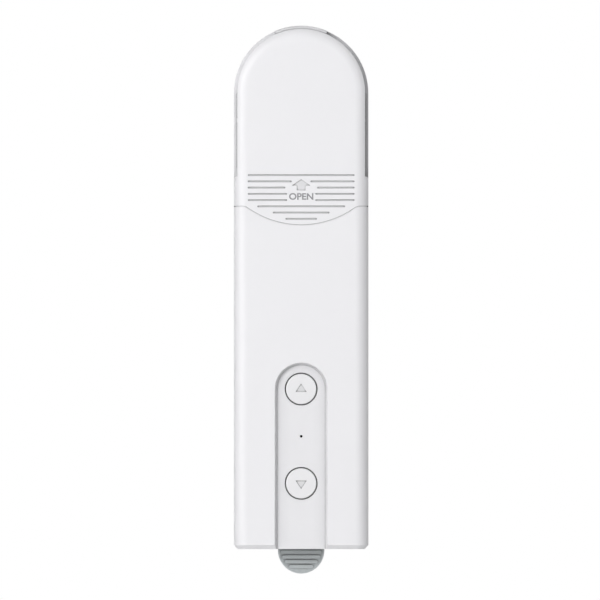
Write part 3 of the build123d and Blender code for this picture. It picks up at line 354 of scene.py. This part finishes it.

# Button recess: an arch-topped channel in the front shell that runs out at the bottom. Its skin is
# painted a little greyer than the face as shade, down to just above the bottom edge.


def paint_shade_sunken(paint, middle, reach, face_y, tone):
    """Paints shade into a paint's colour where the surface lies sunk behind a face, round a point
    of it.
    """
    sunk_by = 0.2 * MM
    tree = paint.node_tree
    x, y, z = place_in(tree)
    inside = maths(tree, "GREATER_THAN", y, face_y + sunk_by)
    for along, centre, half in ((x, middle[0], reach[0]), (z, middle[1], reach[1])):
        distance = maths(tree, "ABSOLUTE", maths(tree, "SUBTRACT", along, centre))
        inside = maths(tree, "MULTIPLY", inside, maths(tree, "LESS_THAN", distance, half))
    base_colour = tree.nodes["Principled BSDF"].inputs["Base Color"]
    plain = base_colour.links[0].from_socket
    factor = maths(tree, "MULTIPLY_ADD", inside, tone - 1.0, 1.0)
    feed(tree, base_colour, scaled(tree, plain, factor))


recess_middle = (0.0, -57.1 * MM)
recess_reach = (8.3 * MM, 31.3 * MM)
recess_painted_shade = 0.95
paint_shade_sunken(front_white, recess_middle, recess_reach, cad_low.y, recess_painted_shade)

# Chain cover: the upper front plate, moulded as the shells are, that slides up off the bead wheel.
# Its shallow lines get a softer painted shade, and the floor of its sunken arrow is painted greyer
# as shade.

cover_white = moulded("cover_white", **case_plastic, edge_round=0.2, crease_shade=0.12)
finish_nodes(cover_white, "chain_cover")
arrow_middle = (0.0, 34.6 * MM)
arrow_reach = (3.3 * MM, 2.2 * MM)
arrow_painted_shade = 0.88
paint_shade_sunken(cover_white, arrow_middle, arrow_reach, cad_low.y, arrow_painted_shade)

# Seam lip: the hairline seam under the cover's tongue. A slightly grey strip on the housing fills
# the
# split to 0.08 mm of the cover and 0.1 mm under the face, so that its grey shows as the seam line:
# painted shade in place of the shade of the open split. Its section turns along the tongue's arc
# and the blend, runs out to the side, is mirrored, and follows the rounding of the body's long
# edges.


def place_piece(mesh, name, body, paint):
    """Turns a finished bmesh into a piece that rides on a body."""
    bmesh.ops.recalc_face_normals(mesh, faces=mesh.faces)
    data = bpy.data.meshes.new(name)
    mesh.to_mesh(data)
    mesh.free()
    piece = bpy.data.objects.new(name, data)
    scene.collection.objects.link(piece)
    data.materials.append(paint)
    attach(piece, body)
    return piece


def of_kind(kind, geometry):
    """The vertices or the edges in what an operator gives back."""
    return [item for item in geometry if isinstance(item, kind)]


def face_depth(x):
    """Y of the body's front face, with the rounding of its long edges."""
    past = max(0.0, abs(x) - (cad_high.x - front_round))
    return cad_low.y + front_round - sqrt(front_round**2 - past**2)


tongue_radius = 31.3 * MM
tongue_blend = 3.0 * MM
tongue_dip = 6.3 * MM
front_round = 4.4 * MM
seam_split = 0.3 * MM
lip_clearance = 0.08 * MM
lip_sink = 0.1 * MM
lip_depth = 1.4 * MM
lip_end = 0.5 * MM
lip_steps = 24
lip_merge = 0.001 * MM
tongue_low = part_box("chain_cover")[0].z
tongue_centre = tongue_low + tongue_radius
blend_centre = tongue_low + tongue_dip - tongue_blend
blend_drop = tongue_centre - blend_centre
blend_x = sqrt((tongue_radius + tongue_blend) ** 2 - blend_drop**2)
swing = atan2(blend_x, blend_drop)
side_step = (cad_high.x - lip_end - blend_x) / lip_steps
lip = bmesh.new()
corners = [
    lip.verts.new((0, lip_sink + depth, tongue_low - drop))
    for depth, drop in (
        (0, lip_clearance), (0, seam_split), (lip_depth, seam_split), (lip_depth, lip_clearance),
    )
]
section = [lip.edges.new((corners[k - 1], corners[k])) for k in range(len(corners))]
for centre, angle in (((0, 0, tongue_centre), -swing), ((blend_x, 0, blend_centre), swing)):
    spun = bmesh.ops.spin(
        lip, geom=section, cent=centre, axis=(0, 1, 0), angle=angle, steps=lip_steps,
        use_merge=False,
    )
    section = of_kind(bmesh.types.BMEdge, spun["geom_last"])
for step in range(lip_steps):
    grown = bmesh.ops.extrude_edge_only(lip, edges=section)["geom"]
    outer_end = of_kind(bmesh.types.BMVert, grown)
    bmesh.ops.translate(lip, verts=outer_end, vec=(side_step, 0, 0))
    section = [edge for edge in of_kind(bmesh.types.BMEdge, grown) if edge.is_boundary]
bmesh.ops.contextual_create(lip, geom=section)
right_half = lip.verts[:] + lip.edges[:] + lip.faces[:]
bmesh.ops.mirror(lip, geom=right_half, axis="X", merge_dist=lip_merge)
for vert in lip.verts:
    vert.co.y += face_depth(vert.co.x)
# The strip's grey is painted shade for the seam line; its own crease shade is left off.
seam_shade_grey = moulded("seam_shade_grey", (0.80, 0.80, 0.82), roughness=0.5, crease_shade=1.0)
place_piece(lip, "seam_lip", "housing", seam_shade_grey)

# Word on the cover: OPEN, 8.2 mm wide and 2.3 mm high, in a plain bold face. It is a grey layer
# under the arrow, a hundredth of a millimetre thick.

word_width = 8.2 * MM
word_height = 2.27 * MM
word_low = 29.56 * MM
word_boldness = 0.026
glyph_merge = 0.0001
word_thickness = 0.01 * MM
word_root = 0.2 * MM
word_curve = bpy.data.curves.new("cover_word", "FONT")
word_curve.body = "OPEN"
word_curve.offset = word_boldness
word_curve.extrude = 0.5
word_text = bpy.data.objects.new("cover_word", word_curve)
scene.collection.objects.link(word_text)
shown_text = word_text.evaluated_get(bpy.context.evaluated_depsgraph_get())
word_shape = bpy.data.meshes.new_from_object(shown_text)
bpy.data.objects.remove(word_text)
word = bmesh.new()
word.from_mesh(word_shape)
bmesh.ops.remove_doubles(word, verts=word.verts, dist=glyph_merge)
xs = [vert.co.x for vert in word.verts]
ys = [vert.co.y for vert in word.verts]
for vert in word.verts:
    x, y, front = vert.co
    vert.co = (
        word_width * ((x - min(xs)) / (max(xs) - min(xs)) - 0.5),
        cad_low.y + (word_root if front < 0 else -word_thickness),
        word_low + word_height * (y - min(ys)) / (max(ys) - min(ys)),
    )
word_grey = moulded(
    "word_grey", (0.26, 0.26, 0.27), roughness=0.5, edge_round=0.02, crease_shade=1.0
)
place_piece(word, "cover_word", "cover", word_grey)

# Buttons: smooth round caps of the case's plastic, polished a little more than the case, that stand
# in the recess. The floor of the sunken triangle in each is painted greyer as shade, and the gaps
# round the caps get strong painted shade.

button_plastic = {"colour": (0.815, 0.812, 0.828), "roughness": 0.32, "shine": 0.25}
button_skin = {"grain_depth": 0.004, "edge_round": 0.25, "crease_shade": 0.05}
triangle_reach = (2.2 * MM, 1.9 * MM)
triangle_painted_shade = 0.88
for name in ("up_button", "down_button"):
    button_white = moulded(name + "_white", **button_plastic, **button_skin)
    finish_nodes(button_white, name)
    low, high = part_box(name)
    middle = (0.0, (low.z + high.z) / 2)
    paint_shade_sunken(button_white, middle, triangle_reach, low.y, triangle_painted_shade)

# Light pipe: a smoked rod between the buttons, moulded smooth, that carries the light of the lamp
# on the board. It looks black while that lamp is off.

smoked = moulded(
    "smoked", (0.002, 0.002, 0.003), roughness=0.3, shine=0.05, grain_depth=0.002,
    edge_round=0.05, crease_shade=1.0,
)
finish_nodes(smoked, "light_pipe")

# Release latch: cool grey plastic, the one coloured piece of the outside. Its painted shade in
# creases reaches 12 mm, so that the tab is painted darker towards the body that it comes out of,
# standing in for the body's shadow on it.

latch_grey = moulded(
    "latch_grey", (0.72, 0.766, 0.776), roughness=0.38, edge_round=0.12, crease_shade=0.3,
    crease_reach=12.0,
)
finish_nodes(latch_grey, "release_latch")

# Wall bracket: tougher off-white plastic with a coarser grain, screwed to the wall and hidden
# behind the body, which hangs on its hooks.

bracket_white = moulded(
    "bracket_white", (0.70, 0.70, 0.69), roughness=0.6, grain_size=0.3, grain_depth=0.02
)
finish_nodes(bracket_white, "wall_bracket")

# Drive frame and cell holder: glass-filled nylon, dark grey and matt with a mottled skin, where
# the case is satin. The motor's end cap is a smoother black.

nylon_grey = moulded(
    "nylon_grey", (0.075, 0.08, 0.085), roughness=0.62, grain_size=0.4, grain_depth=0.03
)
finish_nodes(nylon_grey, "drive_frame", "battery_holder")
end_black = moulded("end_black", (0.02, 0.02, 0.022), roughness=0.5, grain_size=0.2)
finish_nodes(end_black, "motor_end_cap")

# Bead wheel and gears: moulded acetal, milky and slick, the wheel a cool grey and the gears cream
# with crisp edges

wheel_grey = moulded("wheel_grey", (0.42, 0.43, 0.44), roughness=0.34, grain_depth=0.006)
finish_nodes(wheel_grey, "bead_wheel")
gear_cream = moulded(
    "gear_cream", (0.80, 0.77, 0.68), roughness=0.36, grain_depth=0.006, edge_round=0.05
)
finish_nodes(gear_cream, "output_gear", "second_gear", "first_gear")

# Turned metal, a finish that the metal pieces share: fine rings round the long axis, which lies
# along Y in all the shafts and screws, and a cloudy film in the gloss

turned_skin, given, put = new_group(
    "turned_skin",
    [
        ("Colour", COLOUR, (0.6, 0.6, 0.6, 1)),
        ("Roughness", FLOAT, 0.3),
        ("Ring Size", FLOAT, 0.15),
        ("Ring Depth", FLOAT, 0.004),
        ("Film", FLOAT, 0.15),
    ],
    skin_outputs,
)
film_scale = 160.0
tree = turned_skin
ring_scale = maths(tree, "DIVIDE", 1.0, in_mm(tree, given["Ring Size"]))
rings = add_node(tree, "TexNoise", detail=2.0)
rings.noise_dimensions = "1D"
feed_all(tree, rings, {"w": place_in(tree)["Y"], "scale": ring_scale})
film = centred_noise(tree, film_scale)
feed_all(
    tree, put,
    {
        "colour": scaled(tree, given["Colour"], about(tree, 1.0, film, given["Film"])),
        "roughness": about(tree, given["Roughness"], film, given["Film"]),
        "normal": relief(tree, rings.outputs["Fac"], given["Ring Depth"]),
    },
)


def turned(name, colour, roughness, **values):
    """A metal, with its own values where they aren't the usual rings and film."""
    return new_paint(
        name, turned_skin, metallic=1.0, colour=colour, roughness=roughness, **values
    )


# Shafts and pins in bright steel, screws and gear plate in zinc, bushes and pinion in brass, the
# can, its plate and the socket in nickel, and the spring in drawn wire

bright_steel = turned("bright_steel", (0.60, 0.60, 0.61), roughness=0.24)
finish_nodes(bright_steel, "output_shaft", "gear_axles", "motor_shaft", "latch_pin")
spring_wire = turned("spring_wire", (0.42, 0.42, 0.43), roughness=0.3, film=0.25)
finish_nodes(spring_wire, "latch_spring")
zinc = turned("zinc", (0.55, 0.56, 0.58), roughness=0.36, ring_size=0.25, film=0.3)
finish_nodes(
    zinc, "case_screws", "frame_screws", "gearbox_screws", "board_screws", "motor_screws",
    "wheel_screw", "gear_plate",
)
brass = turned("brass", (0.72, 0.52, 0.24), roughness=0.3, film=0.25)
finish_nodes(brass, "front_bush", "rear_bush", "motor_pinion")
nickel = turned("nickel", (0.62, 0.61, 0.58), roughness=0.28, ring_size=0.5, film=0.1)
finish_nodes(nickel, "motor_can", "motor_plate", "battery_strips", "usb_socket")

# Magnets in black ferrite, and the armature as a stack of 0.5 mm steel sheets, which shows as
# lines across its length

ferrite = moulded(
    "ferrite", (0.035, 0.033, 0.032), roughness=0.75, grain_size=0.25, grain_depth=0.03
)
finish_nodes(ferrite, "motor_magnets")
lamination = turned(
    "lamination", (0.30, 0.30, 0.31), roughness=0.45, ring_size=0.5, ring_depth=0.06
)
finish_nodes(lamination, "motor_armature")

# Cells: shrink sleeve in blue with a pale band at one end, and bare metal past the sleeve's ends.
# The bands go by height along the cell.


def mixed(tree, factor, one, other):
    """One colour, and another where the factor is full."""
    node = tree.nodes.new("ShaderNodeMix")
    node.data_type = "RGBA"
    colours = [socket for socket in node.inputs if socket.type == "RGBA"]
    for socket, value in zip([node.inputs["Factor"]] + colours, (factor, one, other)):
        feed(tree, socket, value)
    return next(socket for socket in node.outputs if socket.type == "RGBA")


sleeve_skin, given, put = new_group(
    "sleeve_skin",
    [("Low", FLOAT, 0.0), ("High", FLOAT, 1.0), ("Band", FLOAT, 0.8)],
    skin_outputs + [("Metal", FLOAT)],
)
sleeve_blue = (0.03, 0.09, 0.24)
sleeve_pale = (0.55, 0.58, 0.60)
cell_steel = (0.6, 0.6, 0.58)
sleeve_roughness = 0.32
wrinkle_scale = 120.0
wrinkle_depth = 0.03
tree = sleeve_skin
height = place_in(tree)["Z"]
wrapped = maths(
    tree, "MULTIPLY", maths(tree, "GREATER_THAN", height, given["Low"]),
    maths(tree, "LESS_THAN", height, given["High"]),
)
banded = maths(tree, "GREATER_THAN", height, given["Band"])
wrinkle = centred_noise(tree, wrinkle_scale)
sleeve = mixed(tree, banded, sleeve_blue, sleeve_pale)
cell_colour = mixed(tree, wrapped, cell_steel, sleeve)
feed_all(
    tree, put,
    {
        "colour": scaled(tree, cell_colour, about(tree, 1.0, wrinkle, amount=0.12)),
        "roughness": about(tree, sleeve_roughness, wrinkle, amount=0.15),
        "normal": relief(tree, wrinkle, wrinkle_depth),
        "metal": maths(tree, "SUBTRACT", 1.0, wrapped),
    },
)
sleeve_margin = 1.2 * MM
pale_band = 9.0 * MM
cell_low, cell_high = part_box("left_cell")
cell_wrap = new_paint(
    "cell_wrap", sleeve_skin, low=cell_low.z + sleeve_margin, high=cell_high.z - sleeve_margin,
    band=cell_high.z - pale_band,
)
finish_nodes(cell_wrap, "left_cell", "right_cell")

# Circuit board: green solder mask on glass fibre, with copper traces under it that show as
# slightly lighter ways about 0.4 mm wide and stand a little proud

board_skin, given, put = new_group("board_skin", [("Trace Pitch", FLOAT, 2.5)], skin_outputs)
mask_green = (0.008, 0.09, 0.035)
trace_green = (0.02, 0.16, 0.06)
mask_roughness = 0.3
mask_film_scale = 90.0
trace_height = 0.035
traces_per_cell = 4.0
trace_edge = 0.36
tree = board_skin
place = add_node(tree, "TexCoord").outputs["Object"]
trace_scale = maths(tree, "DIVIDE", 1.0, in_mm(tree, given["Trace Pitch"]))
ways = add_node(tree, "TexVoronoi", vector=place, scale=trace_scale)
ways.distance = "MANHATTAN"
ways.feature = "F1"
split = maths(tree, "MULTIPLY", ways.outputs["Distance"], traces_per_cell)
trace = maths(tree, "GREATER_THAN", maths(tree, "PINGPONG", split, 0.5), trace_edge)
mask_film = centred_noise(tree, mask_film_scale)
mask = mixed(tree, trace, mask_green, trace_green)
feed_all(
    tree, put,
    {
        "colour": scaled(tree, mask, about(tree, 1.0, mask_film, amount=0.2)),
        "roughness": about(tree, mask_roughness, mask_film, amount=0.15),
        "normal": relief(tree, trace, trace_height),
    },
)
finish_nodes(new_paint("solder_mask", board_skin), "circuit_board")

# Parts on the board: black epoxy chips and plungers, dark switches, a screening can on the radio,
# and a milky lamp

epoxy = moulded(
    "epoxy", (0.018, 0.018, 0.02), roughness=0.55, grain_size=0.08, edge_round=0.08
)
finish_nodes(epoxy, "board_components")
switch_black = moulded("switch_black", (0.03, 0.03, 0.032), roughness=0.4, edge_round=0.08)
finish_nodes(switch_black, "button_switches", "up_plunger", "down_plunger")
radio_can = turned(
    "radio_can", (0.66, 0.66, 0.65), roughness=0.34, ring_size=1.2, ring_depth=0.002, film=0.2
)
finish_nodes(radio_can, "radio_module")
lamp_milk = moulded(
    "lamp_milk", (0.82, 0.82, 0.76), roughness=0.3, grain_depth=0.002, edge_round=0.05
)
finish_nodes(lamp_milk, "status_led")

# Leads: 1 mm stranded wire, red on the right and black on the left, with the twist of the strands
# showing faintly through the sleeve

lead_skin, given, put = new_group(
    "lead_skin",
    [("Right", COLOUR, (0.42, 0.02, 0.015, 1)), ("Left", COLOUR, (0.015, 0.015, 0.016, 1))],
    skin_outputs,
)
lead_roughness = 0.38
lead_film_scale = 200.0
strand_scale = 900.0
strand_wander = 1.5
strand_depth = 0.03
tree = lead_skin
place = add_node(tree, "TexCoord").outputs["Object"]
strands = add_node(
    tree, "TexWave", vector=place, scale=strand_scale, distortion=strand_wander
)
strands.bands_direction = "DIAGONAL"
twist = strands.outputs["Fac"]
side = maths(tree, "GREATER_THAN", place_in(tree)["X"], 0.0)
lead_colour = mixed(tree, side, given["Left"], given["Right"])
lead_film = centred_noise(tree, lead_film_scale)
feed_all(
    tree, put,
    {
        "colour": scaled(tree, lead_colour, about(tree, 1.0, lead_film, amount=0.2)),
        "roughness": about(tree, lead_roughness, twist, amount=0.08),
        "normal": relief(tree, twist, strand_depth),
    },
)
finish_nodes(new_paint("lead_sleeve", lead_skin), "motor_leads", "battery_leads")

# Size of the dressed part: the box round it, in metres

low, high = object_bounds()
